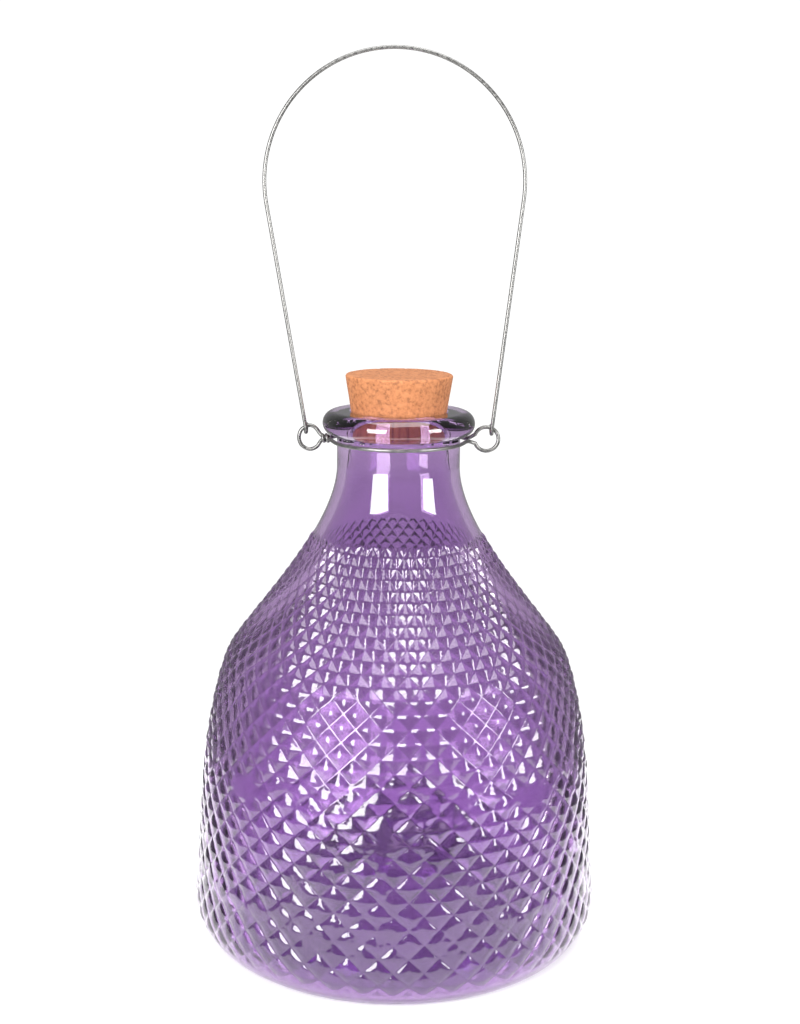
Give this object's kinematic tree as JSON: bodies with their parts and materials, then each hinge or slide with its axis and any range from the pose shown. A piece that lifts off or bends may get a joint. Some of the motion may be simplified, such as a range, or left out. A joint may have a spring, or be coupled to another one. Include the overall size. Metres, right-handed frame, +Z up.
{
  "type": "wasp trap",
  "caption": "Hanging pressed-glass wasp trap: bell-shaped bottle with an entry funnel in its base, cork stopper, wire neck collar and swinging wire handle.",
  "frame": {"origin": "centre of the plane that the bottle's foot ring rests on", "axes": "+Z up the bottle's axis towards the cork, X through the collar's two eyes, -Y towards the viewer"},
  "size_m": [0.132, 0.132, 0.2829],
  "materials": {
    "purple_glass": "transparent violet pressed glass, polished, with a diamond-point relief outside and a smooth neck",
    "cork": "fine agglomerated cork, matt, with small dark pores",
    "galvanised_wire": "dull zinc-coated round wire"
  },
  "bodies": {
    "bottle": {"glass_bottle": "purple_glass"},
    "stopper": {"cork_stopper": "cork"},
    "collar": {"neck_collar": "galvanised_wire"},
    "handle": {"bail_handle": "galvanised_wire"}
  },
  "joints": [
    {"name": "stopper_pull", "type": "slide", "parent": "bottle", "child": "stopper", "axis": [0, 0, 1], "range_m": [0, 0.04]},
    {"name": "collar_turn", "type": "hinge", "parent": "bottle", "child": "collar", "pos_m": [0, 0, 0.1628], "axis": [0, 0, 1], "continuous": true},
    {"name": "handle_swing", "type": "hinge", "parent": "collar", "child": "handle", "pos_m": [0, 0, 0.16687], "axis": [1, 0, 0], "range_deg": [-147, 145]}
  ]
}
